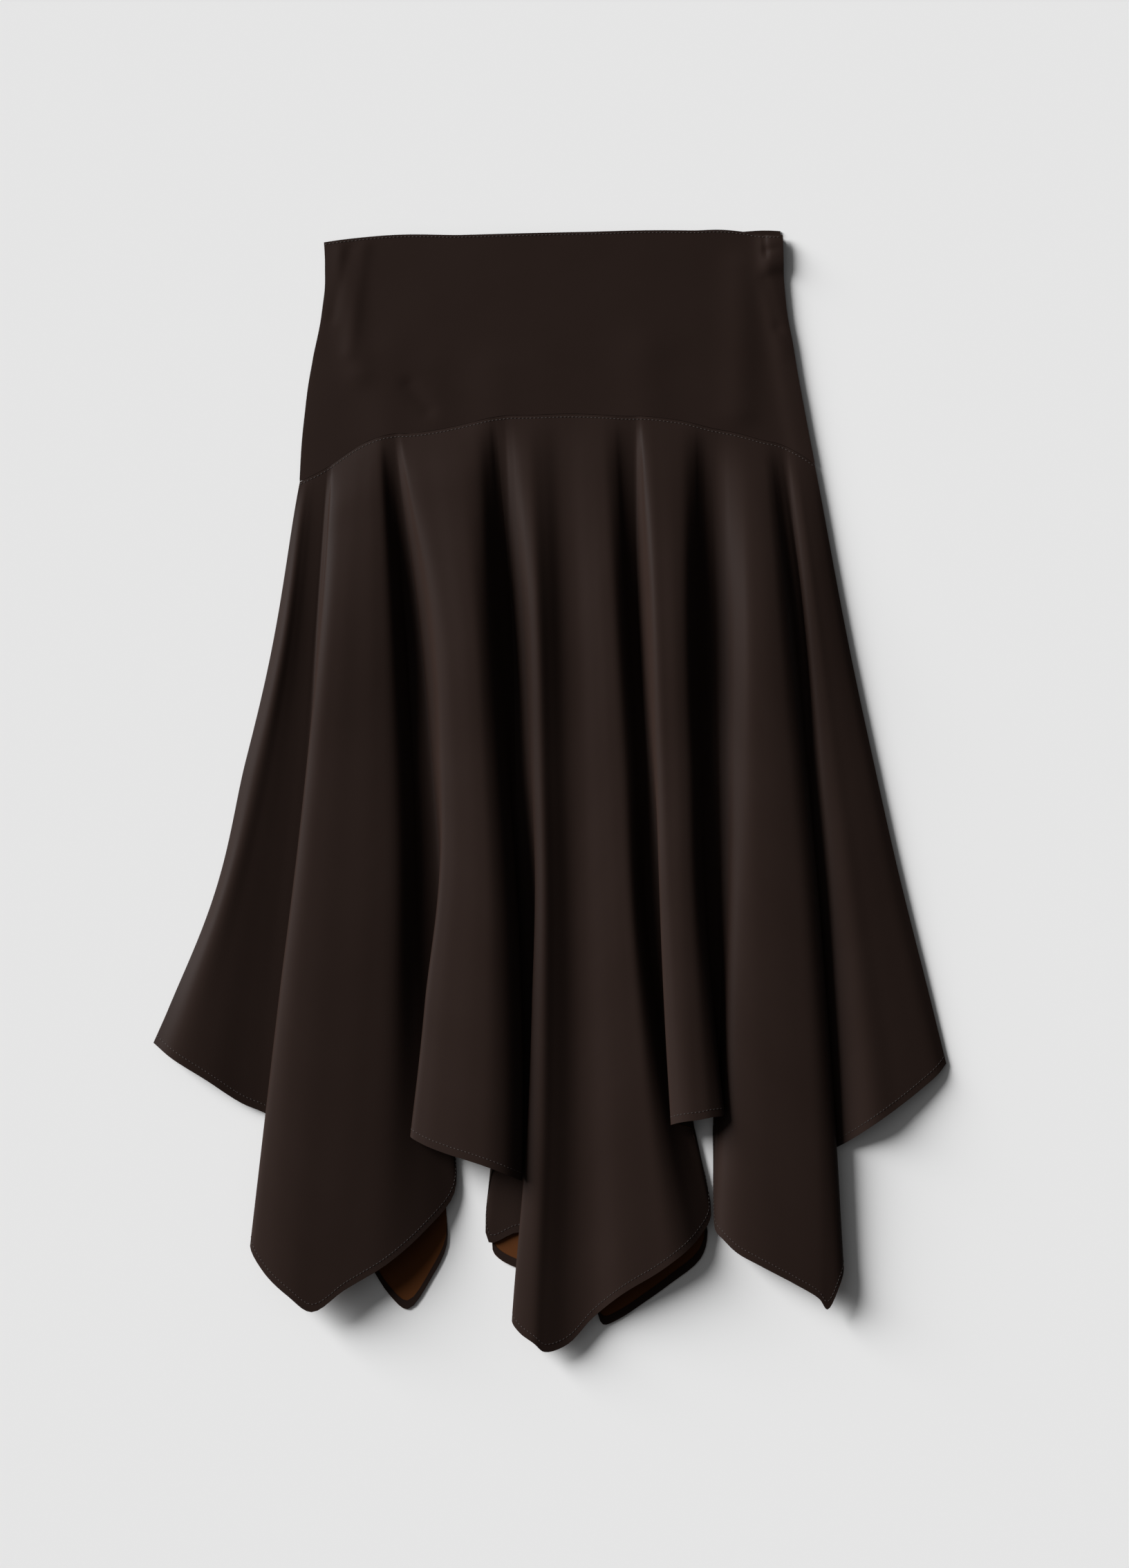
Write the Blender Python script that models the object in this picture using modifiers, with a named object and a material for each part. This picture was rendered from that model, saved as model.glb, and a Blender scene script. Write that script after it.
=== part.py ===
# Midi skirt laid flat on a surface: a deep shaped yoke over a flared skirt that falls in flutes.
# Metres, +Z up, +Y towards the waist. The back panels lie on the plane z = 0 and the front panels on them.
# The origin is at the bottom centre of the whole garment.
from collections import namedtuple

import bmesh
import bpy
import numpy as np

MM = 0.001

# Driving sizes, in mm
CLOTH = 1.0  # wall of every cloth piece
SEAM_GAP = 0.3  # between two pieces at a seam, and between two layers
BACK_LEVEL = CLOTH / 2  # middle of the back wall
FRONT_LEVEL = BACK_LEVEL + CLOTH + SEAM_GAP  # middle of the front wall where it touches the back
YOKE_CROWN = 4.0  # how far the middle of the front yoke stands above its sides
RIDGE_FADE = 12.0  # from a side edge to where the yoke's ridges have their full height
SLACK = 1.6  # how far the back panels stay inside the front ones
ZIP_LENGTH = 205.0
ZIP_WIDTH = 9.0
ZIP_THICKNESS = 1.0
ZIP_INSET = 1.5  # from the side edge to the tape
ZIP_LIFT_WIDTH = 16.0  # how far in from the side edge the front stands off the zip
ZIP_LIFT_FADE = 3.0
SLIDER_LENGTH, SLIDER_WIDTH, SLIDER_HEIGHT = 8.0, 4.5, 1.8
SLIDER_DROP = 14.0  # from the waist edge to the slider's middle
SLIDER_BUMP = 14.0  # half the length of the bump over it
SLIDER_EDGE = 0.7

# Heights along the garment at which the fold tables give a fold's place
MID_Y = 23.0
LOW_Y = -167.0

FRONT_ROWS, BACK_ROWS = 15, 9
# Shares of the way from the yoke seam up to the waist, closer over the zip slider
FRONT_YOKE_ROWS = (0, 0.16, 0.34, 0.52, 0.7, 0.82, 0.9, 0.95, 1)
BACK_YOKE_ROWS = (0, 0.25, 0.5, 0.75, 1)

Spot = namedtuple("Spot", "x y")
WAIST = [Spot(-178, 431.6), Spot(-150, 435), Spot(-68, 437), Spot(27, 439.3), Spot(113, 440.6), Spot(150, 440.0)]
FRONT_WAIST = WAIST + [Spot(168, 437.2), Spot(183.5, 437.0)]
BACK_WAIST = WAIST + [Spot(170, 441.1), Spot(183.5, 440.5)]
SEAM = [
    Spot(-197, 243), Spot(-174, 255), Spot(-150, 271), Spot(-137, 277), Spot(-106, 281), Spot(-63, 289),
    Spot(-41, 294), Spot(-19, 295), Spot(57, 294.5), Spot(90, 292.7), Spot(128, 285), Spot(166, 276),
    Spot(193, 267), Spot(209, 256.5),
]
LEFT_SIDE = [Spot(-197.3, 240), Spot(-193, 296), Spot(-186.5, 340), Spot(-179, 380), Spot(-177, 411), Spot(-177.8, 433)]
RIGHT_SIDE = [Spot(209, 256), Spot(200.6, 300), Spot(191.8, 350), Spot(185.3, 392), Spot(184, 420), Spot(183.4, 442)]

# A fold is a line down the skirt. x at the yoke seam, at MID_Y, at LOW_Y and at the hem, y of its hem end,
# and the height of the wall's middle at MID_Y and at the hem.
Fold = namedtuple("Fold", "name seam mid low hem_x hem_y rise_mid rise_hem")
FRONT_FOLDS = [
    Fold("side left", -196.8, -239.3, -298, -312, -199, 1.8, 1.8),
    Fold("panel 1 crest", -192, -229, -283, -297, -211, 6, 9),
    Fold("panel 1 slope", -188, -218, -259, -270, -228, 6, 9),
    Fold("panel 1 foot", -184, -207, -234, -243, -246, 4.5, 6),
    Fold("valley 1", -181, -196, -216, -221, -256, 3.2, 3.0),
    Fold("turn 1 lower", -178, -188, -193.5, -198, -275, 3.0, 2.8),
    Fold("turn 1 upper", -175, -185.5, -193, -198, -276, 5.8, 5.6),
    Fold("lip 2", -172, -186.5, -209, -231, -351, 8.6, 6.4),
    Fold("edge 2", -168.5, -190, -212.5, -235, -358, 12, 10),
    Fold("shoulder 2", -163, -184, -204.5, -223.5, -379, 16.5, 16),
    Fold("crest 2 left", -154, -172, -188, -204.5, -397, 18, 20),
    Fold("tip 2", -146, -155, -166, -186.5, -409, 17.5, 18),
    Fold("slope 2 high", -139, -136, -142, -161, -392, 15, 16),
    Fold("slope 2 low", -134, -120, -120, -128, -372, 11.5, 12),
    Fold("foot 2", -130, -110, -106, -98, -346, 7.6, 7.6),
    Fold("corner 2", -127, -105.5, -94, -75, -317, 5.0, 4.8),
    Fold("turn 2 lower", -124, -101, -81, -75, -281, 4, 3.6),
    Fold("turn 2 upper", -121.5, -97.5, -80, -75, -279.5, 6.4, 7.4),
    Fold("lip 3", -119.5, -92, -93, -104, -270, 10.5, 10.6),
    Fold("edge 3", -117, -87.5, -97.5, -109, -271.5, 15.5, 15),
    Fold("shoulder 3", -109.5, -80, -88.5, -99, -277.5, 21, 21.5),
    Fold("crest 3 left", -97.5, -69, -73.5, -82, -284, 24, 27),
    Fold("crest 3 right", -84.5, -58, -57, -62.5, -290, 23, 26),
    Fold("slope 3 high", -72.5, -49.5, -43, -45, -296, 19, 22.5),
    Fold("slope 3 low", -62.5, -40.5, -31, -31, -302, 14.5, 18),
    Fold("edge 3 right", -56, -34, -22.5, -21.8, -306, 9.8, 13.6),
    Fold("under 3", -52.8, -32.3, -25, -26, -300, 7.2, 10.4),
    Fold("turn 3 upper", -49.6, -30.4, -34, -42, -294, 5.6, 6.8),
    Fold("turn 3 lower", -46.5, -28.4, -35, -44, -296, 4.3, 4.0),
    Fold("roll left", -43.3, -26, -28.5, -48, -356, 3.8, 2.7),
    Fold("roll right", -40, -22.8, -17, -23.5, -348, 3.9, 3.0),
    Fold("turn 4 lower", -36.6, -19.9, -5, -1.5, -360, 4.6, 2.8),
    Fold("turn 4 upper", -33.3, -17.4, -4.5, -1.2, -361, 7, 5.4),
    Fold("lip 4", -30.3, -15.2, -10.5, -25, -411, 9.5, 5.6),
    Fold("edge 4", -27.5, -13.6, -13.5, -29.4, -417, 12, 8),
    Fold("shoulder 4", -23, -10.8, -10.6, -23.5, -426, 15.5, 13),
    Fold("crest 4 left", -16.4, -6, -4.5, -12.5, -434, 17, 16),
    Fold("tip 4 left", -6.5, 2, 4, -4, -441, 15, 14),
    Fold("dip 4", 4, 12.5, 16.4, 9.3, -439.5, 13, 12),
    Fold("dip 4 right", 13.6, 25.6, 29, 21, -429, 14, 13.5),
    Fold("crest 4 middle", 25.6, 38.7, 46, 34, -414, 18, 19),
    Fold("crest 4 right", 36.5, 49.6, 60, 53, -398, 19, 21),
    Fold("slope 4 high", 45, 59, 68, 73.5, -385, 16, 18),
    Fold("slope 4 low", 51.5, 65, 73, 97, -369, 11, 12),
    Fold("foot 4", 56, 69.5, 79, 117, -352, 7.6, 7.6),
    Fold("corner 4", 60.2, 74, 85, 127, -334, 5.0, 4.6),
    Fold("turn 5 lower", 65, 79.2, 101, 113, -272, 4.0, 3.6),
    Fold("turn 5 upper", 67.6, 81, 102, 112.5, -267, 6.8, 7.6),
    Fold("lip 5", 69.8, 82.2, 94, 99, -262.5, 11, 11),
    Fold("edge 5", 72, 83.6, 90, 95.4, -262.5, 16, 15.5),
    Fold("shoulder 5", 77, 87.5, 95.4, 101, -260.5, 21, 21.5),
    Fold("crest 5 left", 85.5, 94.5, 102, 108.5, -259, 23, 25.5),
    Fold("crest 5 right", 96.5, 103, 110.6, 117, -258, 22, 26),
    Fold("slope 5", 106, 110.6, 119.4, 127, -256, 18, 23),
    Fold("edge 5 right", 113.4, 117, 127.5, 137, -255, 12.5, 17),
    Fold("under 5", 117, 121, 127.5, 133.5, -252.5, 8.4, 12.4),
    Fold("turn 6 upper", 121, 125.5, 129.5, 130.5, -252, 5.4, 8),
    Fold("turn 6 lower", 125, 130, 132, 129.5, -259, 4, 4.2),
    Fold("corner 6", 131, 136, 136, 129.5, -337.5, 4.2, 4.2),
    Fold("lip 6", 136, 140, 138, 131, -347, 7, 6.6),
    Fold("edge 6", 141, 143.5, 140.5, 136, -352.5, 12, 11),
    Fold("shoulder 6", 147, 149.5, 146.5, 147, -363, 17, 15.5),
    Fold("crest 6 left", 153, 157.5, 158, 166, -373.5, 19, 19),
    Fold("crest 6 middle", 159.7, 169.5, 174.5, 193.5, -388, 19.5, 20),
    Fold("crest 6 right", 165, 182.5, 193.5, 211.5, -399, 18, 18.5),
    Fold("tip 6", 169, 190.8, 206, 218, -407.5, 16, 15.5),
    Fold("shoulder 6 right", 172.2, 197.3, 213.5, 227.5, -389.5, 13, 13),
    Fold("edge 6 right", 175, 201, 217.5, 231, -375.5, 9.8, 9.6),
    Fold("lip 6 right", 177.8, 203, 216, 228.5, -368, 7, 7.2),
    Fold("turn 7 upper", 180.5, 205, 203.5, 204, -296, 4.9, 5.6),
    Fold("turn 7 lower", 183.3, 207.3, 204, 204, -295, 3.4, 2.7),
    Fold("valley 7 left", 186, 210, 221, 223.5, -282.5, 3.0, 2.6),
    Fold("valley 7 right", 189, 214, 230.5, 235, -276, 3.6, 3.8),
    Fold("slope 7", 192.5, 222, 245, 254.5, -263, 8, 9),
    Fold("crest 7", 196.5, 231.5, 261.5, 275, -248.5, 10.5, 12.5),
    Fold("slope 7 right", 201, 241.5, 278, 293, -234.5, 8.5, 10),
    Fold("foot 7", 205, 249, 291.5, 305.7, -223.5, 5.0, 5.5),
    Fold("side right", 208.6, 254.8, 300.3, 312.3, -215.3, 2.2, 1.8),
]

# The back lies flat with its wrong side up.
BACK_FOLDS = [
    Fold("side left", -195, -237, -295, -309, -198.5, 0.5, 0.5),
    Fold("panel 1", -187, -216, -262, -270, -225, 0.5, 0.5),
    Fold("panel 1 foot", -178, -196, -219, -222, -252, 0.5, 0.5),
    Fold("panel 2", -170, -183, -196, -197, -282, 0.5, 0.5),
    Fold("pleat 2 left", -160, -166, -172, -172, -330, 0.5, 0.5),
    Fold("pleat 2", -152, -148, -145, -143, -372, 0.5, 0.5),
    Fold("pleat 2 right", -141, -132, -128, -126, -398, 0.5, 0.5),
    Fold("tip 2", -136, -124, -117, -112, -409, 0.5, 0.5),
    Fold("tip 2 right", -131, -115, -105, -93, -384, 0.5, 0.5),
    Fold("corner 2", -127, -108, -95, -81, -358, 0.5, 0.5),
    Fold("notch 2", -122, -102, -87, -82, -325, 0.5, 0.5),
    Fold("panel 3", -112, -95, -80, -77, -275, 0.5, 0.5),
    Fold("pleat 3 left", -100, -86, -70, -68, -268, 0.5, 0.5),
    Fold("pleat 3", -91, -74, -59, -57, -272, 0.5, 0.5),
    Fold("pleat 3 right", -79, -61, -50, -49, -278, 0.5, 0.5),
    Fold("notch 3", -66, -48, -43, -44, -290, 0.5, 0.5),
    Fold("corner 3", -52, -36, -34.5, -45, -362, 0.5, 0.5),
    Fold("under roll", -40, -27, -28, -40, -369, 0.5, 0.5),
    Fold("under roll right", -30, -18, -18, -27, -376, 0.5, 0.5),
    Fold("pleat 4 left", -18, -4, 0, 0, -385, 0.5, 0.5),
    Fold("pleat 4", -5, 12, 20, 20, -392, 0.5, 0.5),
    Fold("pleat 4 right", 8, 27, 36, 35, -405, 0.5, 0.5),
    Fold("tip 4", 18, 35, 43, 42, -421, 0.5, 0.5),
    Fold("tip 4 right", 28, 43, 54, 54, -417, 0.5, 0.5),
    Fold("panel 4", 40, 52, 66, 74, -404, 0.5, 0.5),
    Fold("panel 4 foot", 50, 60, 71, 95, -389, 0.5, 0.5),
    Fold("corner 4", 61, 68, 79, 119, -369, 0.5, 0.5),
    Fold("corner 4 right", 72, 76, 85, 124.5, -348, 0.5, 0.5),
    Fold("panel 5", 94, 93, 103, 110.5, -256, 0.5, 0.5),
    Fold("panel 5 right", 112, 112, 124, 127, -247, 0.5, 0.5),
    Fold("panel 6", 124, 126, 135, 137, -253, 0.5, 0.5),
    Fold("corner 6", 134, 138, 144, 139, -320, 0.5, 0.5),
    Fold("pleat 6 left", 143, 148, 154, 152, -345, 0.5, 0.5),
    Fold("pleat 6", 151, 163, 176, 177, -360, 0.5, 0.5),
    Fold("pleat 6 right", 162, 177, 192, 195, -374, 0.5, 0.5),
    Fold("tip 6", 170, 186, 201, 207, -375, 0.5, 0.5),
    Fold("corner 7", 178, 196, 210, 214, -335, 0.5, 0.5),
    Fold("panel 7", 186, 212, 227, 226, -276, 0.5, 0.5),
    Fold("panel 7 middle", 196, 231, 260, 268, -247, 0.5, 0.5),
    Fold("side right", 206.5, 252.5, 297, 309, -214, 0.5, 0.5),
]

# A soft ridge of the yoke, from one spot to another: how wide it is and how high.
Ridge = namedtuple("Ridge", "x1 y1 x2 y2 width rise")
YOKE_RIDGES = [
    Ridge(-166, 420, -150, 330, 12, 1.2),
    Ridge(-128, 340, -128, 285, 14, 1.4),
    Ridge(-95, 330, -92, 290, 12, 1.0),
    Ridge(-44, 330, -42, 298, 12, 0.8),
    Ridge(74, 340, 76, 298, 14, 1.2),
    Ridge(152, 410, 150, 300, 14, 1.2),
    Ridge(170, 405, 190, 350, 10, 1.0),
]

Look = namedtuple("Look", "color roughness metallic")
SATIN = Look((0.018, 0.011, 0.009, 1), 0.42, 0.0)
TAPE = Look((0.012, 0.008, 0.007, 1), 0.8, 0.0)
SLIDER = Look((0.02, 0.015, 0.013, 1), 0.35, 0.9)


def through(knots, values, at):
    # A smooth curve through a few values, with a slope at each taken from its neighbours.
    knots, values = np.asarray(knots, float), np.asarray(values, float)
    if knots[0] > knots[-1]:
        knots, values = knots[::-1], values[::-1]
    slope = np.gradient(values, knots)
    at = np.clip(at, knots[0], knots[-1])
    i = np.clip(np.searchsorted(knots, at) - 1, 0, len(knots) - 2)
    width = knots[i + 1] - knots[i]
    s = (at - knots[i]) / width
    start = values[i] + s * width * slope[i]
    end = values[i + 1] - (1 - s) * width * slope[i + 1]
    blend = s * s * (3 - 2 * s)
    return start * (1 - blend) + end * blend


def along(spots, x):
    return through([p.x for p in spots], [p.y for p in spots], x)


def side_x(spots, y):
    return through([p.y for p in spots], [p.x for p in spots], y)


def ridge_rise(x, y):
    # Sum of the yoke's soft ridges at a spot.
    total = 0.0
    for r in YOKE_RIDGES:
        run = np.array([r.x2 - r.x1, r.y2 - r.y1])
        s = np.clip(((x - r.x1) * run[0] + (y - r.y1) * run[1]) / run.dot(run), 0, 1)
        away = np.hypot(x - r.x1 - s * run[0], y - r.y1 - s * run[1])
        total += r.rise * np.exp(-((away / r.width) ** 2))
    return total


def zip_lift(x, y):
    # The front stands off the back over the zip, and a little more over its slider.
    edge = side_x(RIGHT_SIDE, y)
    near_edge = 1 / (1 + np.exp((edge - x - ZIP_LIFT_WIDTH) / ZIP_LIFT_FADE))
    slider_y = along(FRONT_WAIST, edge) - SLIDER_DROP
    over_slider = (SLIDER_HEIGHT + 2 * SEAM_GAP) * np.exp(-(((y - slider_y) / SLIDER_BUMP) ** 4))
    return near_edge * (ZIP_THICKNESS + 2 * SEAM_GAP + over_slider)


def front_height(x, y, left, right):
    # Middle of the front wall over the yoke and along its seam.
    across = (x - left) / (right - left)
    crown = YOKE_CROWN * np.sin(np.pi * np.clip(across, 0, 1)) ** 0.7
    fade = np.clip(np.minimum(x - left, right - x) / RIDGE_FADE, 0, 1)
    return FRONT_LEVEL + crown + fade * ridge_rise(x, y) + zip_lift(x, y)


def seam_height(x):
    return front_height(x, along(SEAM, x), SEAM[0].x, SEAM[-1].x)


def fold_line(fold, rows, is_front):
    # Points down one fold, from the yoke seam to the hem.
    top = along(SEAM, fold.seam) - SEAM_GAP
    y = top + (fold.hem_y - top) * np.linspace(0, 1, rows)
    x = through([top, MID_Y, LOW_Y, fold.hem_y], [fold.seam, fold.mid, fold.low, fold.hem_x], y)
    start = seam_height(fold.seam) if is_front else BACK_LEVEL
    z = through([top, MID_Y, fold.hem_y], [start, fold.rise_mid, fold.rise_hem], y)
    return np.column_stack([x, y, z])


def skirt_grid(folds, is_front):
    rows = FRONT_ROWS if is_front else BACK_ROWS
    return np.array([fold_line(f, rows, is_front) for f in folds])


def yoke_grid(folds, waist, is_front, inset):
    # The yoke's columns start at the skirt's folds, so the two pieces match along the seam.
    lines = []
    low, high = folds[0].seam, folds[-1].seam
    for fold in folds:
        share = (fold.seam - low) / (high - low)
        line = []
        for v in FRONT_YOKE_ROWS if is_front else BACK_YOKE_ROWS:
            x = fold.seam
            for _ in range(4):
                y = along(SEAM, x) * (1 - v) + along(waist, x) * v
                left, right = side_x(LEFT_SIDE, y) + inset, side_x(RIGHT_SIDE, y) - inset
                x = left + share * (right - left) if v > 0 else fold.seam
            z = front_height(x, y, left, right) if is_front else BACK_LEVEL
            line.append((x, y, z))
        lines.append(line)
    return np.array(lines)


def material(name, look):
    made = bpy.data.materials.new(name)
    made.use_nodes = True
    shader = made.node_tree.nodes["Principled BSDF"]
    shader.inputs["Base Color"].default_value = look.color
    shader.inputs["Roughness"].default_value = look.roughness
    shader.inputs["Metallic"].default_value = look.metallic
    return made


def cloth_piece(name, grid, look, collection):
    # A flat grid bent to the given points, then thickened on both sides.
    columns, rows = grid.shape[:2]
    bm = bmesh.new()
    bmesh.ops.create_grid(bm, x_segments=columns - 1, y_segments=rows - 1, size=0.5)
    for vert in bm.verts:
        column = round((vert.co.x + 0.5) * (columns - 1))
        row = round((0.5 - vert.co.y) * (rows - 1))
        vert.co = grid[column, row] * MM
    mesh = bpy.data.meshes.new(name)
    bm.to_mesh(mesh)
    bm.free()
    mesh.shade_smooth()
    piece = bpy.data.objects.new(name, mesh)
    piece.data.materials.append(material(name + "_finish", look))
    collection.objects.link(piece)
    wall = piece.modifiers.new("wall", "SOLIDIFY")
    wall.thickness = CLOTH * MM
    wall.offset = 0
    return piece


def zip_pieces(collection):
    # Tapes with the closed coil between them, in the side seam from the waist down into the skirt.
    level = CLOTH + SEAM_GAP + ZIP_THICKNESS / 2
    side = RIGHT_SIDE[::-1]
    skirt_side = FRONT_FOLDS[-1]
    seam_y = along(SEAM, skirt_side.seam)
    top = along(FRONT_WAIST, 183) - 1.5
    lines = []
    for share in np.linspace(0, 1, 4):
        line = []
        for y in np.linspace(top, top - ZIP_LENGTH, 22):
            if y >= seam_y:
                edge = side_x(side, y)
            else:
                edge = through([seam_y, MID_Y, LOW_Y], [skirt_side.seam, skirt_side.mid, skirt_side.low], y)
            line.append((edge - ZIP_INSET - ZIP_WIDTH * (1 - share), y, level))
        lines.append(line)
    tape = cloth_piece("zip_tape", np.array(lines), TAPE, collection)
    tape.modifiers["wall"].thickness = ZIP_THICKNESS * MM

    y = top - SLIDER_DROP
    bpy.ops.mesh.primitive_cube_add(size=1)
    slider = bpy.context.object
    slider.name = slider.data.name = "zip_slider"
    slider.scale = (SLIDER_WIDTH * MM, SLIDER_LENGTH * MM, SLIDER_HEIGHT * MM)
    bpy.ops.object.transform_apply(location=False, rotation=False, scale=True)
    slider.location = (
        (side_x(side, y) - ZIP_INSET - ZIP_WIDTH / 2) * MM,
        y * MM,
        (CLOTH + 2 * SEAM_GAP + ZIP_THICKNESS + SLIDER_HEIGHT / 2) * MM,
    )
    rounded = slider.modifiers.new("rounded", "BEVEL")
    rounded.width = SLIDER_EDGE * MM
    rounded.segments = 2
    slider.data.materials.append(material("zip_slider_finish", SLIDER))
    for owner in list(slider.users_collection):
        owner.objects.unlink(slider)
    collection.objects.link(slider)


def main():
    for thing in list(bpy.data.objects):
        bpy.data.objects.remove(thing)
    collection = bpy.data.collections.new("midi_skirt")
    bpy.context.scene.collection.children.link(collection)
    cloth_piece("front_skirt", skirt_grid(FRONT_FOLDS, True), SATIN, collection)
    cloth_piece("back_skirt", skirt_grid(BACK_FOLDS, False), SATIN, collection)
    cloth_piece("front_yoke", yoke_grid(FRONT_FOLDS, FRONT_WAIST, True, 0.0), SATIN, collection)
    cloth_piece("back_yoke", yoke_grid(BACK_FOLDS, BACK_WAIST, False, SLACK), SATIN, collection)
    zip_pieces(collection)


main()
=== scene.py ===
import math
import bmesh
import bpy
import numpy as np
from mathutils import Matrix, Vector


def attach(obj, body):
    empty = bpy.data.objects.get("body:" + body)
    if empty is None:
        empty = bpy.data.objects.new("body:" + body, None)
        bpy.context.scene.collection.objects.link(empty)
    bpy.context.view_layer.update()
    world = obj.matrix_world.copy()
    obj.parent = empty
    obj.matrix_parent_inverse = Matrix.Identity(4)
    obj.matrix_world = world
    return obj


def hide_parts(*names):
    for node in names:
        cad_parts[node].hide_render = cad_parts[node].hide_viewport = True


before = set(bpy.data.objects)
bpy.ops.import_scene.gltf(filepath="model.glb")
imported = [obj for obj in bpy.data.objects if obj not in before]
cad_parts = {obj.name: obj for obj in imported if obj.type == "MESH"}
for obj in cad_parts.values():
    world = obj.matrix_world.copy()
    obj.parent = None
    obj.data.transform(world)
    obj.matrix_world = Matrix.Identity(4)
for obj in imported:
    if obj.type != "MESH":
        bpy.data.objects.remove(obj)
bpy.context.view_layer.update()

mm = 0.001

# Sizes shared by all the cloth
cloth = {
    "thickness": 0.7,  # of the thin shells, mm
    "seamGap": 0.3,  # between edges and layers that meet
    "backLevel": 0.5,  # middle of the back layer
    "frontLevel": 1.8,  # middle of the front layer where it touches the back
    "midY": 23.0,  # heights at which the fold rows give a fold's place
    "lowY": -167.0,
    "hemTurn": 7.0,  # width of the turned-up hem
    "turnStart": 0.3,  # of the turned-up hem, from the hem's edge
    "turnGap": 0.25,  # between the turned-up hem's middle and the cloth's face
    "turnThickness": 0.4,
    "hemStitch": 6.2,  # from the hem's edge to its stitch row
    "yokeStitch": 2.2,
    "waistStitch": 1.8,
    "stitchLift": 0.05,  # of the thread above the cloth's face
}

# Outlines, as (x, y) in mm
waistEdge = [(-178, 431.6), (-150, 435), (-68, 437), (27, 439.3), (113, 440.6), (150, 440.0)]
frontWaist = waistEdge + [(168, 437.2), (183.5, 437.0)]
backWaist = waistEdge + [(170, 441.1), (183.5, 440.5)]
seamLine = [
    (-197, 243), (-174, 255), (-150, 271), (-137, 277), (-106, 281), (-63, 289), (-41, 294), (-19, 295),
    (57, 294.5), (90, 292.7), (128, 285), (166, 276), (193, 267), (209, 256.5),
]
leftSide = [(-197.3, 240), (-193, 296), (-186.5, 340), (-179, 380), (-177, 411), (-177.8, 433)]
rightSide = [(209, 256), (200.6, 300), (191.8, 350), (185.3, 392), (184, 420), (183.4, 442)]

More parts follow.
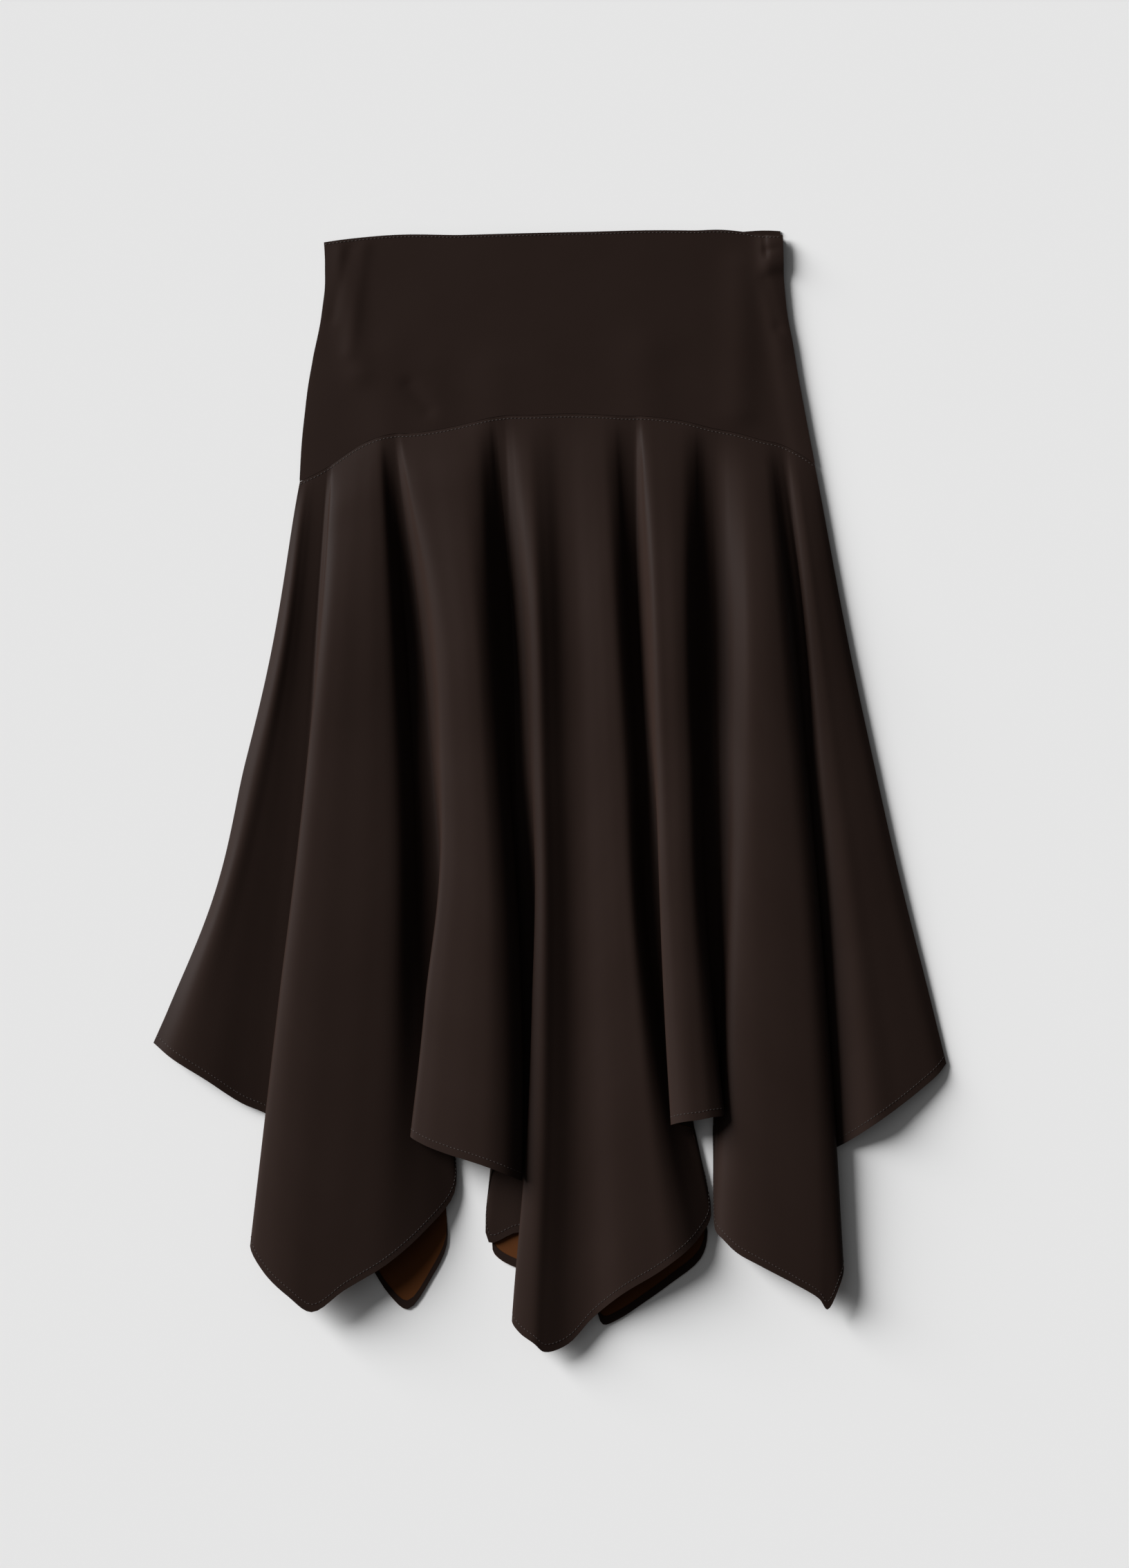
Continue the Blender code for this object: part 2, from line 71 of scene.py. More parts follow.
# Each fold of the front, from the side at the left to the side with the zip:
# name, x at the yoke seam, at midY, at lowY and at the hem, y of the hem, height at midY and at the hem
frontFolds = [
    ("side left", -196.8, -239.3, -298, -312, -199, 1.8, 1.8),
    ("panel 1 crest", -192, -229, -283, -297, -211, 7.5, 8.6),
    ("panel 1 slope", -188, -218, -259, -270, -228, 6, 9),
    ("panel 1 foot", -184, -207, -234, -243, -246, 4.2, 5.2),
    ("valley 1", -176.5, -196, -216, -221, -256, 3, 2.8),
    ("turn 1 lower", -175, -188, -193.5, -198, -275, 3.0, 2.8),
    ("turn 1 upper", -173.4, -185.5, -193, -198, -276, 5.8, 5.6),
    ("lip 2", -171.8, -186.5, -209, -231, -351, 9, 7.6),
    ("edge 2", -170, -190, -212.5, -235, -358, 13.5, 11.5),
    ("shoulder 2", -165.5, -184, -204.5, -223.5, -379, 17.3, 16),
    ("crest 2 left", -154, -172, -188, -204.5, -397, 18.6, 18.5),
    ("tip 2", -146, -155, -166, -186.5, -409, 18.6, 18.2),
    ("slope 2 high", -139, -136, -142, -161, -392, 18.3, 17.6),
    ("slope 2 low", -134, -120, -120, -128, -372, 16.3, 16),
    ("foot 2", -129.5, -110, -106, -98, -346, 8.5, 11),
    ("corner 2", -124.5, -105.5, -94, -75, -317, 4.4, 4.2),
    ("turn 2 lower", -122, -92.5, -81, -75, -281, 4, 3.6),
    ("turn 2 upper", -120.4, -90.8, -80, -75, -279.5, 6.4, 7.4),
    ("lip 3", -118.8, -88.2, -93, -104, -270, 10.5, 10.6),
    ("edge 3", -117, -85.5, -97.5, -109, -271.5, 15.5, 15),
    ("shoulder 3", -112, -78.5, -88.5, -99, -277.5, 19, 19.5),
    ("crest 3 left", -97.5, -69, -73.5, -82, -284, 21.3, 23),
    ("crest 3 right", -84.5, -58, -57, -62.5, -290, 23, 25.5),
    ("slope 3 high", -68, -49.5, -43, -45, -296, 23, 26),
    ("slope 3 low", -57, -40.5, -31, -31, -302, 19.5, 22.5),
    ("edge 3 right", -50, -34, -22.5, -21.8, -306, 12.5, 14.5),
    ("under 3", -47.6, -32.3, -25, -26, -300, 9.6, 11.2),
    ("turn 3 upper", -45.4, -30.4, -34, -42, -294, 6.2, 7.2),
    ("turn 3 lower", -43.2, -28.4, -35, -44, -296, 4.3, 4.0),
    ("roll left", -40.9, -26, -28.5, -48, -356, 3.8, 2.7),
    ("roll right", -38.2, -22.8, -17, -23.5, -348, 3.9, 3.0),
    ("turn 4 lower", -35.4, -19.9, -5, -1.5, -360, 4.6, 2.8),
    ("turn 4 upper", -33.1, -17.4, -4.5, -1.2, -361, 7, 5.4),
    ("lip 4", -30.8, -15.2, -10.5, -25, -411, 9.5, 7),
    ("edge 4", -28.4, -13.6, -13.5, -29.4, -417, 12, 9.5),
    ("shoulder 4", -24.4, -10.8, -10.6, -23.5, -426, 14.5, 12.5),
    ("crest 4 left", -16.4, -6, -4.5, -12.5, -434, 16.3, 14.5),
    ("tip 4 left", -6.5, 2, 4, -4, -441, 13.8, 13),
    ("dip 4", 4, 12.5, 16.4, 14, -435.5, 10.5, 9.5),
    ("dip 4 right", 13.6, 25.6, 29, 34, -414.5, 10.5, 9.5),
    ("crest 4 middle", 25.6, 38.7, 46, 57, -395.5, 13, 14.5),
    ("crest 4 right", 36.5, 49.6, 62, 84, -379, 14.8, 16.5),
    ("slope 4 high", 43, 59, 71, 98, -369, 15, 17),
    ("slope 4 low", 50, 65, 77, 108, -361, 12, 15),
    ("foot 4", 55, 69.5, 81.5, 118, -350.5, 7.5, 10),
    ("corner 4", 61, 74, 86, 127, -334, 4.6, 4.6),
    ("turn 5 lower", 67.4, 79.2, 101, 113, -272, 4.0, 3.6),
    ("turn 5 upper", 69, 81, 102, 112.5, -267, 6.8, 7.6),
    ("lip 5", 70.6, 82.2, 94, 99, -262.5, 11, 11),
    ("edge 5", 72.4, 83.6, 90, 95.4, -262.5, 16, 15.5),
    ("shoulder 5", 76.4, 87.5, 95.4, 101, -260.5, 19, 20),
    ("crest 5 left", 85.5, 94.5, 102, 108.5, -259, 20, 22.5),
    ("crest 5 right", 96.5, 103, 110.6, 117, -258, 20.3, 23),
    ("slope 5", 106, 110.6, 119.4, 127, -256, 18.8, 22),
    ("edge 5 right", 113.4, 117, 127.5, 137, -255, 13.5, 17),
    ("under 5", 117, 121, 127.5, 133.5, -252.5, 9, 12.4),
    ("turn 6 upper", 121, 125.5, 129.5, 130.5, -252, 5.4, 8),
    ("turn 6 lower", 125, 130, 132, 129.5, -259, 4, 4.2),
    ("corner 6", 131, 136, 136, 129.5, -337.5, 4.2, 4.2),
    ("lip 6", 136, 141, 138, 131, -347, 6.5, 6.6),
    ("edge 6", 141, 145, 140.5, 136, -352.5, 10, 10.5),
    ("shoulder 6", 147, 151, 146.5, 147, -363, 13.5, 14),
    ("crest 6 left", 153, 157.5, 158, 166, -373.5, 15.8, 15.8),
    ("crest 6 middle", 159.7, 169.5, 174.5, 193.5, -388, 16.8, 15.6),
    ("crest 6 right", 165, 182.5, 193.5, 211.5, -399, 16.6, 14.8),
    ("tip 6", 169, 190.8, 206, 218, -407.5, 15.6, 14),
    ("shoulder 6 right", 172.2, 197.3, 213.5, 227.5, -389.5, 13, 12.2),
    ("edge 6 right", 175, 201, 217.5, 231, -375.5, 9.8, 9.2),
    ("lip 6 right", 177.8, 203, 216, 228.5, -368, 7, 7.2),
    ("turn 7 upper", 180.5, 205, 203.5, 204, -296, 4.9, 5.6),
    ("turn 7 lower", 183.3, 207.3, 204, 204, -295, 3.4, 2.7),
    ("valley 7 left", 186, 210, 221, 223.5, -282.5, 4.0, 3.6),
    ("valley 7 right", 189, 214, 230.5, 235, -276, 7.5, 7),
    ("slope 7", 192.5, 222, 245, 254.5, -263, 9, 12),
    ("crest 7", 196.5, 231.5, 261.5, 275, -248.5, 8.2, 9.8),
    ("slope 7 right", 201, 241.5, 278, 293, -234.5, 7, 7.4),
    ("foot 7", 205, 249, 291.5, 305.7, -223.5, 5.6, 5),
    ("side right", 208.6, 254.8, 300.3, 312.3, -215.3, 3.4, 1.8),
]

# The back's folds likewise, without heights because it lies flat
backFolds = [
    ("side left", -195, -237, -295, -309, -198.5),
    ("panel 1", -187, -216, -262, -270, -225),
    ("panel 1 foot", -178, -196, -219, -222, -252),
    ("panel 2", -170, -183, -196, -197, -282),
    ("pleat 2 left", -160, -166, -172, -172, -330),
    ("pleat 2", -152, -148, -145, -143, -372),
    ("pleat 2 right", -141, -132, -128, -126, -398),
    ("tip 2", -136, -124, -117, -112, -409),
    ("tip 2 right", -131, -115, -105, -93, -384),
    ("corner 2", -127, -108, -95, -81, -358),
    ("notch 2", -122, -102, -87, -82, -325),
    ("panel 3", -112, -95, -80, -77, -275),
    ("pleat 3 left", -100, -86, -70, -68, -268),
    ("pleat 3", -91, -74, -59, -57, -272),
    ("pleat 3 right", -79, -61, -50, -49, -278),
    ("notch 3", -66, -48, -43, -44, -290),
    ("corner 3", -52, -36, -34.5, -45, -362),
    ("under roll", -40, -27, -28, -40, -369),
    ("under roll right", -30, -18, -18, -27, -376),
    ("pleat 4 left", -18, -4, 0, 0, -385),
    ("pleat 4", -5, 12, 20, 20, -392),
    ("pleat 4 right", 8, 27, 36, 35, -405),
    ("tip 4", 18, 35, 43, 42, -421),
    ("tip 4 right", 28, 43, 54, 54, -417),
    ("panel 4", 40, 52, 66, 74, -404),
    ("panel 4 foot", 50, 60, 71, 95, -389),
    ("corner 4", 61, 68, 79, 119, -369),
    ("corner 4 right", 72, 76, 85, 124.5, -348),
    ("panel 5", 94, 93, 103, 110.5, -256),
    ("panel 5 right", 112, 112, 124, 127, -247),
    ("panel 6", 124, 126, 135, 137, -253),
    ("corner 6", 134, 138, 144, 139, -320),
    ("pleat 6 left", 143, 148, 154, 152, -345),
    ("pleat 6", 151, 163, 176, 177, -360),
    ("pleat 6 right", 162, 177, 192, 195, -374),
    ("tip 6", 170, 186, 201, 207, -375),
    ("corner 7", 178, 196, 210, 214, -335),
    ("panel 7", 186, 212, 227, 226, -276),
    ("panel 7 middle", 196, 231, 260, 268, -247),
    ("side right", 206.5, 252.5, 297, 309, -214),
]

# How far each fold has risen to its height at midY, this many mm below the seam
foldOpening = [(18.0, 0.22), (60.0, 0.6)]

# Soft ridges and troughs of the yoke: from x, y to x, y, width, rise. The first seven reach the skirt too
yokeCreases = [
    (-166, 420, -150, 330, 12, 1.2),
    (-128, 340, -128, 285, 20, 1.0),
    (-95, 330, -92, 290, 18, 0.7),
    (-44, 330, -42, 298, 18, 0.6),
    (74, 340, 76, 298, 20, 0.8),
    (152, 410, 150, 300, 14, 1.2),
    (170, 405, 190, 350, 10, 1.0),
    (-158, 425, -172, 372, 5, -0.5),
    (-146, 428, -158, 345, 6, 0.5),
    (-110, 318, -96, 300, 7, -0.7),
    (169, 437, 170.5, 420, 1.6, -0.8),
    (170.5, 425, 180, 426, 3, -0.8),
    (171, 402, 181, 364, 5, -0.6),
    (181, 364, 192, 350, 5, -0.5),
]

seamCreases = yokeCreases[:7]

# The yoke's front, raised between its side edges
yokeShape = {"crown": 4.0, "power": 0.7, "edgeFade": 12}

# The zip under the front's edge at the right
zipper = {
    "thickness": 1.0,
    "reach": 16,  # of the raised cloth, in from the side edge
    "fade": 3,
    "sliderDrop": 14.0,  # below the waist
    "sliderHeight": 1.8,
    "sliderReach": 14,
}


def through(knots, values, at):
    # a smooth curve through a few values, the slope at each taken from its neighbours
    knots, values = np.asarray(knots, float), np.asarray(values, float)
    if knots[0] > knots[-1]:
        knots, values = knots[::-1], values[::-1]
    slope = np.gradient(values, knots)
    at = np.clip(at, knots[0], knots[-1])
    i = np.clip(np.searchsorted(knots, at) - 1, 0, len(knots) - 2)
    width = knots[i + 1] - knots[i]
    s = (at - knots[i]) / width
    start = values[i] + s * width * slope[i]
    end = values[i + 1] - (1 - s) * width * slope[i + 1]
    blend = s * s * (3 - 2 * s)
    return start * (1 - blend) + end * blend


def along(spots, x):
    return through([p[0] for p in spots], [p[1] for p in spots], x)


def sideX(spots, y):
    return through([p[1] for p in spots], [p[0] for p in spots], y)


def creaseRise(x, y, creases):
    total = np.zeros_like(x, dtype=float)
    for x1, y1, x2, y2, width, rise in creases:
        run = np.array([x2 - x1, y2 - y1], float)
        s = np.clip(((x - x1) * run[0] + (y - y1) * run[1]) / run.dot(run), 0, 1)
        away = np.hypot(x - x1 - s * run[0], y - y1 - s * run[1])
        total = total + rise * np.exp(-((away / width) ** 2))
    return total


def zipLift(x, y):
    edge = sideX(rightSide, y)
    nearEdge = 1 / (1 + np.exp((edge - x - zipper["reach"]) / zipper["fade"]))
    sliderY = along(frontWaist, edge) - zipper["sliderDrop"]
    fromSlider = (y - sliderY) / zipper["sliderReach"]
    overSlider = (zipper["sliderHeight"] + 2 * cloth["seamGap"]) * np.exp(-(fromSlider ** 4))
    return nearEdge * (zipper["thickness"] + 2 * cloth["seamGap"] + overSlider)


def frontHeight(x, y, left, right, creases=yokeCreases):
    across = np.clip((x - left) / (right - left), 0, 1)
    crown = yokeShape["crown"] * np.sin(np.pi * across) ** yokeShape["power"]
    fade = np.clip(np.minimum(x - left, right - x) / yokeShape["edgeFade"], 0, 1)
    return cloth["frontLevel"] + crown + fade * creaseRise(x, y, creases) + zipLift(x, y)


def foldLine(fold, rows, isFront):
    seam, mid, low, hemX, hemY = fold[1:6]
    seam = float(seam)
    top = along(seamLine, seam) - cloth["seamGap"]
    share = np.linspace(0, 1, rows)
    y = top + (hemY - top) * share
    x = through([top, cloth["midY"], cloth["lowY"], hemY], [seam, mid, low, hemX], y)
    if isFront:
        left, right = seamLine[0][0], seamLine[-1][0]
        seamY = along(seamLine, seam)
        start = float(frontHeight(np.array(seam), np.array(seamY), left, right, seamCreases))
        riseMid, riseHem = fold[6:]
    else:
        start = riseMid = riseHem = cloth["backLevel"]
    at = [top]
    heights = [start]
    for drop, part in foldOpening:
        at.append(top - drop)
        heights.append(start + (riseMid - start) * part)
    z = through(at + [cloth["midY"], hemY], heights + [riseMid, riseHem], y)
    return np.column_stack([x, y, z])


def smoothAcross(lines, steps):
    # centripetal curve through the folds, the same for each row, so that tight turns stay round
    grid = np.asarray(lines, float)
    first = 2 * grid[0] - grid[1]
    last = 2 * grid[-1] - grid[-2]
    padded = np.concatenate([[first], grid, [last]])
    result = []
    for i in range(1, len(padded) - 2):
        p0, p1, p2, p3 = padded[i - 1:i + 3]
        t0 = np.zeros((p1.shape[0], 1))
        t1 = t0 + np.sqrt(np.linalg.norm(p1 - p0, axis=1, keepdims=True) + 1e-9)
        t2 = t1 + np.sqrt(np.linalg.norm(p2 - p1, axis=1, keepdims=True) + 1e-9)
        t3 = t2 + np.sqrt(np.linalg.norm(p3 - p2, axis=1, keepdims=True) + 1e-9)
        for k in range(steps):
            t = t1 + (t2 - t1) * k / steps
            a1 = (t1 - t) / (t1 - t0) * p0 + (t - t0) / (t1 - t0) * p1
            a2 = (t2 - t) / (t2 - t1) * p1 + (t - t1) / (t2 - t1) * p2
            a3 = (t3 - t) / (t3 - t2) * p2 + (t - t2) / (t3 - t2) * p3
            b1 = (t2 - t) / (t2 - t0) * a1 + (t - t0) / (t2 - t0) * a2
            b2 = (t3 - t) / (t3 - t1) * a2 + (t - t1) / (t3 - t1) * a3
            result.append((t2 - t) / (t2 - t1) * b1 + (t - t1) / (t2 - t1) * b2)
    result.append(padded[-2])
    return np.array(result)


def normalsOf(grid):
    across = np.gradient(grid, axis=0)
    down = np.gradient(grid, axis=1)
    normal = np.cross(down, across)
    return normal / (np.linalg.norm(normal, axis=2, keepdims=True) + 1e-12)


def skirtGrid(folds, rows, steps, isFront):
    return smoothAcross([foldLine(f, rows, isFront) for f in folds], steps)


def yokeGrid(folds, waist, isFront, inset, columns, rows):
    low, high = float(folds[0][1]), float(folds[-1][1])
    grid = np.zeros((columns, rows, 3))
    for i, share in enumerate(np.linspace(0, 1, columns)):
        start = low + share * (high - low)
        v = np.linspace(0, 1, rows)
        x = np.full(rows, start)
        for _ in range(5):
            y = along(seamLine, x) * (1 - v) + along(waist, x) * v
            left, right = sideX(leftSide, y) + inset, sideX(rightSide, y) - inset
            x = np.where(v > 0, left + share * (right - left), start)
        z = frontHeight(x, y, left, right) if isFront else np.full(rows, cloth["backLevel"])
        grid[i] = np.column_stack([x, y, z])
    return grid


def runAlong(points):
    # how far each point is from the first one, along them
    return np.concatenate([[0], np.cumsum(np.linalg.norm(np.diff(points, axis=0), axis=1))])


def meshObject(name, bm):
    mesh = bpy.data.meshes.new(name)
    bm.to_mesh(mesh)
    bm.free()
    mesh.shade_smooth()
    piece = bpy.data.objects.new(name, mesh)
    bpy.context.scene.collection.objects.link(piece)
    return piece


def sheetObject(name, grid, outer, inner=None, thickness=None, flip=False):
    # a grid of points made a thin closed shell, its outer and inner faces each with their own cloth
    columns, rows = grid.shape[:2]
    bm = bmesh.new()
    bmesh.ops.create_grid(bm, x_segments=columns - 1, y_segments=rows - 1, size=0.5)
    uv = bm.loops.layers.uv.new("clothUV")
    acrossStep = runAlong(grid[:, rows // 2])
    downStep = np.zeros((columns, rows))
    downStep[:, 1:] = np.cumsum(np.linalg.norm(np.diff(grid, axis=1), axis=2), axis=1)
    downStep = downStep[:, -1:] - downStep
    place = {}
    for vert in bm.verts:
        column = round((vert.co.x + 0.5) * (columns - 1))
        row = round((0.5 - vert.co.y) * (rows - 1))
        place[vert.index] = (column, row)
        vert.co = grid[column, row] * mm
    for face in bm.faces:
        for loop in face.loops:
            column, row = place[loop.vert.index]
            loop[uv].uv = (acrossStep[column] * mm, downStep[column, row] * mm)
    if flip:
        bmesh.ops.reverse_faces(bm, faces=bm.faces)
    piece = meshObject(name, bm)
    piece.data.materials.append(outer)
    piece.data.materials.append(inner or outer)
    wall = piece.modifiers.new("wall", "SOLIDIFY")
    wall.thickness = (thickness or cloth["thickness"]) * mm
    wall.offset = 0
    wall.material_offset = 1
    apply(piece)
    # seams and rims stay crisp
    piece.data.set_sharp_from_angle(angle=math.radians(50))
    return piece


def apply(piece):
    bpy.ops.object.select_all(action="DESELECT")
    bpy.context.view_layer.objects.active = piece
    piece.select_set(True)
    for modifier in list(piece.modifiers):
        bpy.ops.object.modifier_apply(modifier=modifier.name)
    piece.select_set(False)


# Materials
satinLook = {
    "outer": (0.0165, 0.0098, 0.0078, 1),
    "outerLight": (0.0200, 0.0122, 0.0098, 1),
    "inner": (0.075, 0.026, 0.008, 1),
    "innerLight": (0.09, 0.032, 0.011, 1),
    "roughness": 0.5,
    "innerRoughness": 0.7,
    "roughnessSpread": 0.05,
    "shine": 0.04,
    "shineTint": (0.85, 0.94, 1.0, 1),
    "cloud": 14,
    "weave": 0.00045,  # of the satin's floats, metres
    "lengthways": 0.22,  # how much longer the floats are down the cloth, as a share
    "bump": 0.18,
    "bumpDepth": 0.0002,
}


def node(tree, kind, **settings):
    made = tree.nodes.new(kind)
    for key, value in settings.items():
        setattr(made, key, value)
    return made


def satin(name, dark, light, roughness):
    made = bpy.data.materials.new(name)
    made.use_nodes = True
    tree = made.node_tree
    shader = tree.nodes["Principled BSDF"]
    uv = node(tree, "ShaderNodeUVMap", uv_map="clothUV")
    cloud = node(tree, "ShaderNodeTexNoise")
    cloud.inputs["Scale"].default_value = satinLook["cloud"]
    cloud.inputs["Detail"].default_value = 4
    tree.links.new(uv.outputs["UV"], cloud.inputs["Vector"])
    mix = node(tree, "ShaderNodeMix", data_type="RGBA")
    mix.inputs["A"].default_value = dark
    mix.inputs["B"].default_value = light
    tree.links.new(cloud.outputs["Fac"], mix.inputs["Factor"])
    tree.links.new(mix.outputs["Result"], shader.inputs["Base Color"])
    stretch = node(tree, "ShaderNodeMapping")
    floatScale = (1 / satinLook["weave"], satinLook["lengthways"] / satinLook["weave"], 1)
    stretch.inputs["Scale"].default_value = floatScale
    tree.links.new(uv.outputs["UV"], stretch.inputs["Vector"])
    floats = node(tree, "ShaderNodeTexNoise")
    floats.inputs["Scale"].default_value = 1
    floats.inputs["Detail"].default_value = 2
    tree.links.new(stretch.outputs["Vector"], floats.inputs["Vector"])
    bump = node(tree, "ShaderNodeBump")
    bump.inputs["Strength"].default_value = satinLook["bump"]
    bump.inputs["Distance"].default_value = satinLook["bumpDepth"]
    tree.links.new(floats.outputs["Fac"], bump.inputs["Height"])
    tree.links.new(bump.outputs["Normal"], shader.inputs["Normal"])
    rough = node(tree, "ShaderNodeMapRange")
    rough.inputs["To Min"].default_value = roughness - satinLook["roughnessSpread"]
    rough.inputs["To Max"].default_value = roughness + satinLook["roughnessSpread"]
    tree.links.new(cloud.outputs["Fac"], rough.inputs["Value"])
    tree.links.new(rough.outputs["Result"], shader.inputs["Roughness"])
    shader.inputs["Specular IOR Level"].default_value = satinLook["shine"]
    shader.inputs["Specular Tint"].default_value = satinLook["shineTint"]
    return made


def plain(name, color, roughness, metallic=0.0, grainScale=900, spread=0.2):
    made = bpy.data.materials.new(name)
    made.use_nodes = True
    tree = made.node_tree
    shader = tree.nodes["Principled BSDF"]
    where = node(tree, "ShaderNodeTexCoord")
    grain = node(tree, "ShaderNodeTexNoise")
    grain.inputs["Scale"].default_value = grainScale
    tree.links.new(where.outputs["Object"], grain.inputs["Vector"])
    mix = node(tree, "ShaderNodeMix", data_type="RGBA")
    mix.inputs["A"].default_value = [c * (1 - spread) for c in color[:3]] + [1]
    mix.inputs["B"].default_value = [c * (1 + spread) for c in color[:3]] + [1]
    tree.links.new(grain.outputs["Fac"], mix.inputs["Factor"])
    tree.links.new(mix.outputs["Result"], shader.inputs["Base Color"])
    shader.inputs["Roughness"].default_value = roughness
    shader.inputs["Metallic"].default_value = metallic
    return made


outerSatin = satin("outerSatin", satinLook["outer"], satinLook["outerLight"], satinLook["roughness"])
innerSatin = satin("innerSatin", satinLook["inner"], satinLook["innerLight"], satinLook["innerRoughness"])
threadMaterial = plain("thread", (0.02, 0.013, 0.011), 0.6)
tapeMaterial = plain("zipTapeCloth", (0.012, 0.008, 0.007), 0.85)
sliderMaterial = plain("sliderMetal", (0.02, 0.016, 0.014), 0.35, metallic=0.9)
print("materials made")

# Cloth
frontGrid = skirtGrid(frontFolds, rows=96, steps=5, isFront=True)
backGrid = skirtGrid(backFolds, rows=60, steps=4, isFront=False)
frontYokeGrid = yokeGrid(frontFolds, frontWaist, isFront=True, inset=0.0, columns=200, rows=90)
backYokeGrid = yokeGrid(backFolds, backWaist, isFront=False, inset=1.6, columns=100, rows=30)

frontSkirt = sheetObject("frontSkirtCloth", frontGrid, outerSatin, innerSatin)
backSkirt = sheetObject("backSkirtCloth", backGrid, innerSatin, outerSatin)
frontYoke = sheetObject("frontYokeCloth", frontYokeGrid, outerSatin, flip=True)
backYoke = sheetObject("backYokeCloth", backYokeGrid, outerSatin, flip=True)
print("cloth made")


def stitchRow(name, points, normals, length=2.3, gap=0.7, width=0.45, rise=0.12):
    # sewn thread along a row of points: short stitches, each thick in the middle with sunk ends
    sides = 5
    endSize, endLift = 0.45, -0.1
    points, normals = np.asarray(points), np.asarray(normals)
    run = runAlong(points)
    bm = bmesh.new()
    at = gap
    while at + length < run[-1]:
        ends = []
        for d in (at, at + length / 2, at + length):
            ends.append([np.interp(d, run, points[:, k]) for k in range(3)])
        up = np.array([np.interp(at + length / 2, run, normals[:, k]) for k in range(3)])
        up /= np.linalg.norm(up) + 1e-9
        a, middle, b = map(np.array, ends)
        ahead = (b - a) / (np.linalg.norm(b - a) + 1e-9)
        side = np.cross(ahead, up)
        rings = []
        for place, size, lift in ((a, endSize, endLift), (middle, 1.0, rise), (b, endSize, endLift)):
            ring = []
            for turn in range(sides):
                angle = 2 * math.pi * turn / sides
                outward = side * math.cos(angle) * width / 2 * size
                upward = up * (math.sin(angle) * width / 2 * size + lift)
                ring.append(bm.verts.new((place + (outward + upward)) * mm))
            rings.append(ring)
        for one, two in zip(rings[:-1], rings[1:]):
            for turn in range(sides):
                following = (turn + 1) % sides
                bm.faces.new((one[turn], one[following], two[following], two[turn]))
        bm.faces.new(rings[0][::-1])
        bm.faces.new(rings[-1])
        at += length + gap
    bmesh.ops.recalc_face_normals(bm, faces=bm.faces)
    piece = meshObject(name, bm)
    piece.data.materials.append(threadMaterial)
    return piece


def insetRow(grid, inset, fromEnd=True):
    # points on the grid a fixed distance in from its last row or its first one
    lines = grid if not fromEnd else grid[:, ::-1]
    points = []
    for line in lines:
        run = runAlong(line)
        points.append([np.interp(inset, run, line[:, k]) for k in range(3)])
    return np.array(points)


faceLift = cloth["thickness"] / 2 + cloth["stitchLift"]
frontNormals = normalsOf(frontGrid)
hemPoints = insetRow(frontGrid, cloth["hemStitch"])
hemNormals = frontNormals[:, -2]
frontHemStitch = stitchRow("frontHemStitch", hemPoints + hemNormals * faceLift, hemNormals)
yokeStitchPoints = insetRow(frontGrid, cloth["yokeStitch"], fromEnd=False)
seamNormals = frontNormals[:, 1]
yokeStitch = stitchRow("yokeSeamStitch", yokeStitchPoints + seamNormals * faceLift, seamNormals)
waistNormals = -normalsOf(frontYokeGrid)[:, -2]
waistPoints = insetRow(frontYokeGrid, cloth["waistStitch"])
waistStitch = stitchRow("waistStitch", waistPoints + waistNormals * faceLift, waistNormals)
print("stitches made")


def hemTurn(name, grid, side):
    # the hem turned up on the wrong side
    level = cloth["thickness"] / 2 + cloth["turnGap"]
    rows = []
    for inset in np.linspace(cloth["turnStart"], cloth["hemTurn"], 4):
        rows.append(insetRow(grid, inset))
    band = np.stack(rows, axis=1) + normalsOf(grid)[:, -1:, :] * side * level
    return sheetObject(name, band, outerSatin, thickness=cloth["turnThickness"])


frontTurn = hemTurn("frontHemTurn", frontGrid, -1)
backTurn = hemTurn("backHemTurn", backGrid, 1)

panels = [frontSkirt, backSkirt, frontYoke, backYoke]
sewn = [frontHemStitch, yokeStitch, waistStitch, frontTurn, backTurn]
for piece in panels + sewn:
    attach(piece, "root")
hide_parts("front_skirt")
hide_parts("back_skirt")
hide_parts("front_yoke")
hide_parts("back_yoke")


print("pieces bound to the frame")

# CAD pieces that stay
for name, finish in (("zip_tape", tapeMaterial), ("zip_slider", sliderMaterial)):
    thing = bpy.data.objects[name]
    thing.data.materials.clear()
    thing.data.materials.append(finish)

# Floor, light and camera
stage = {
    "floor": 0.80,
    "floorDrop": 0.0003,  # below the cloth, metres
    "sun": 8.0,
    "sunSize": 32,  # degrees
    "sunFrom": (-1.0, 0.62, 0.42),
    "wallFrom": (-1.0, 0.6, 0.25),
    "wallEdge": 0.2,
    "wallFull": 0.9,
    "room": 0.07,
    "wall": 0.3,
}

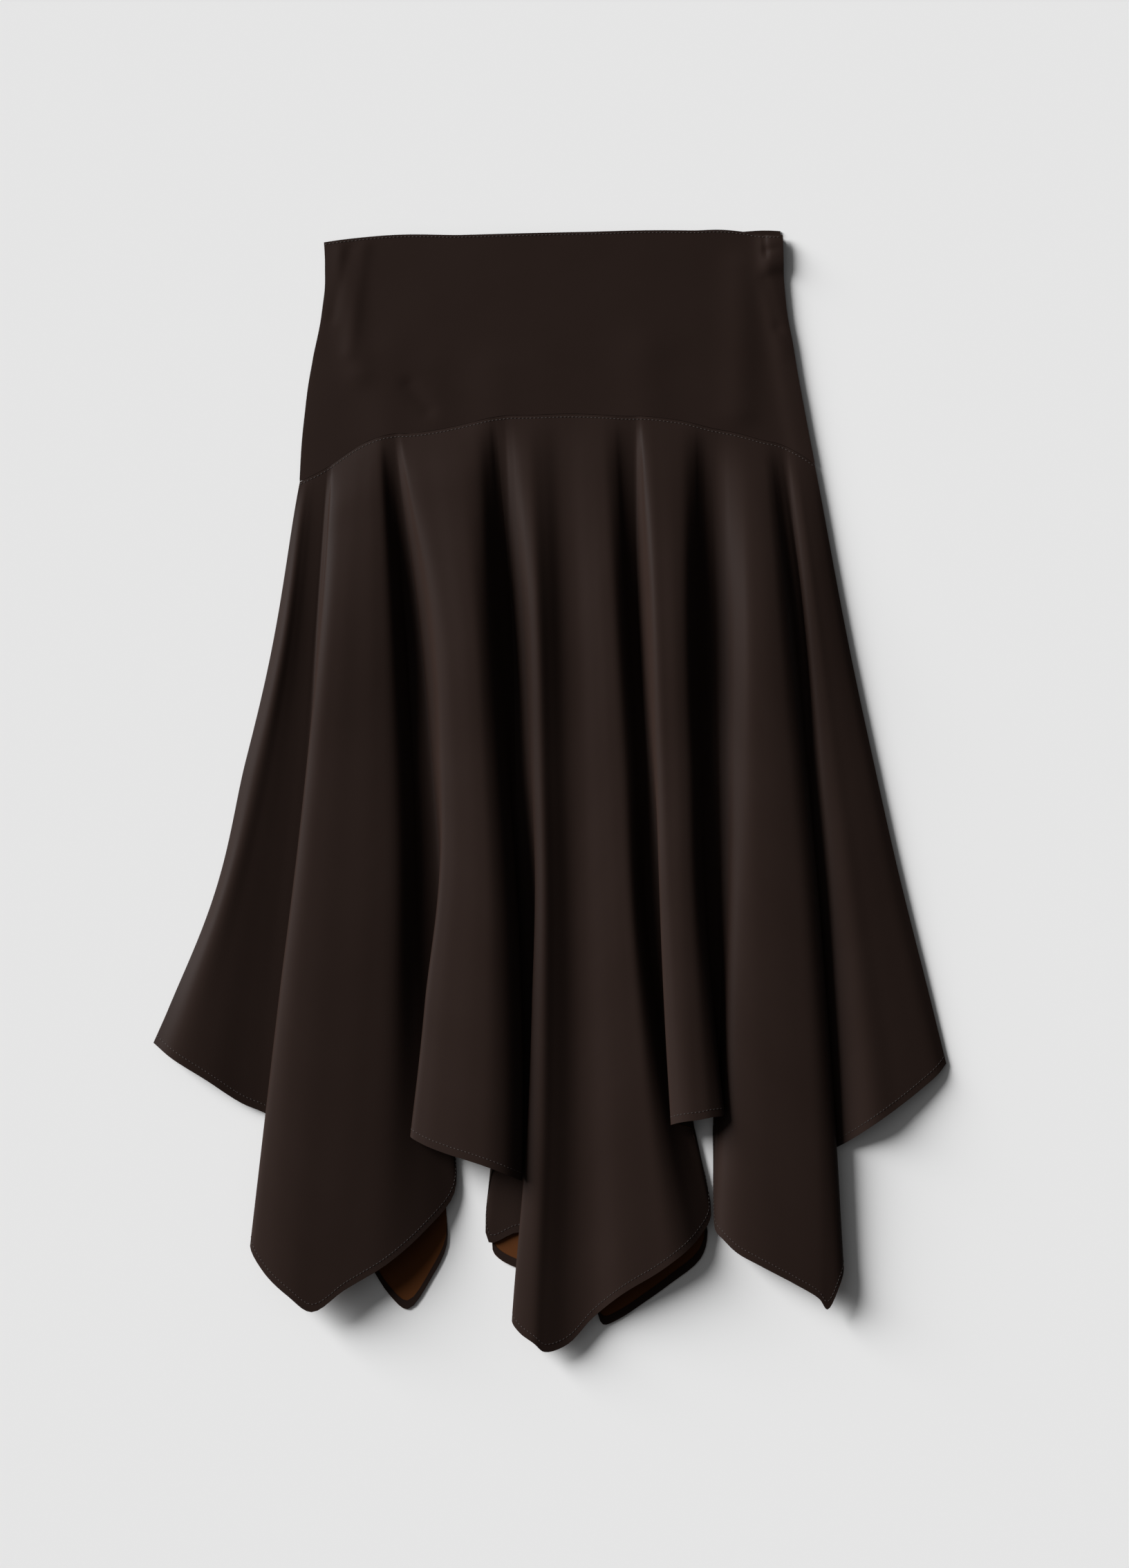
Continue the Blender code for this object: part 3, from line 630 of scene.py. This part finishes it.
bpy.ops.mesh.primitive_plane_add(size=8)
floor = bpy.context.object
floor.name = "floor"
floor.location.z = -stage["floorDrop"]
bpy.ops.object.transform_apply(location=True)
floorPaint = bpy.data.materials.new("floorPaint")
floorPaint.use_nodes = True
floorInputs = floorPaint.node_tree.nodes["Principled BSDF"].inputs
floorInputs["Base Color"].default_value = (stage["floor"],) * 3 + (1,)
floorInputs["Roughness"].default_value = 1.0
floorInputs["Specular IOR Level"].default_value = 0.0
floor.data.materials.append(floorPaint)

sunLight = bpy.data.lights.new("key", "SUN")
sunLight.energy = stage["sun"]
sunLight.angle = math.radians(stage["sunSize"])
sun = bpy.data.objects.new("key", sunLight)
sun.rotation_euler = Vector(stage["sunFrom"]).to_track_quat("Z", "Y").to_euler()
bpy.context.scene.collection.objects.link(sun)

# A dark room with a wide soft light wall at the upper left
world = bpy.data.worlds.new("studio")
world.use_nodes = True
tree = world.node_tree
toward = node(tree, "ShaderNodeTexCoord")
facing = node(tree, "ShaderNodeVectorMath", operation="DOT_PRODUCT")
facing.inputs[1].default_value = Vector(stage["wallFrom"]).normalized()
tree.links.new(toward.outputs["Generated"], facing.inputs[0])
glow = node(tree, "ShaderNodeMapRange", interpolation_type="SMOOTHSTEP")
glow.inputs["From Min"].default_value = stage["wallEdge"]
glow.inputs["From Max"].default_value = stage["wallFull"]
glow.inputs["To Min"].default_value = stage["room"]
glow.inputs["To Max"].default_value = stage["wall"]
tree.links.new(facing.outputs["Value"], glow.inputs["Value"])
tree.links.new(glow.outputs["Result"], tree.nodes["Background"].inputs["Strength"])
tree.nodes["Background"].inputs["Color"].default_value = (1, 1, 1, 1)
bpy.context.scene.world = world
bpy.context.scene.view_settings.view_transform = "Standard"

# Straight down; frameLength is the photo's longer side on the floor, in metres
view = {"lens": 90.0, "sensor": 36.0, "frameLength": 1.236, "x": 0.0117, "y": 0.0049}
lens = bpy.data.cameras.new("camera")
lens.lens = view["lens"]
lens.sensor_width = view["sensor"]
lens.sensor_fit = "AUTO"
camera = bpy.data.objects.new("camera", lens)
camera.location = (view["x"], view["y"], view["frameLength"] * view["lens"] / view["sensor"])
bpy.context.scene.collection.objects.link(camera)
bpy.context.scene.camera = camera
print("stage set")
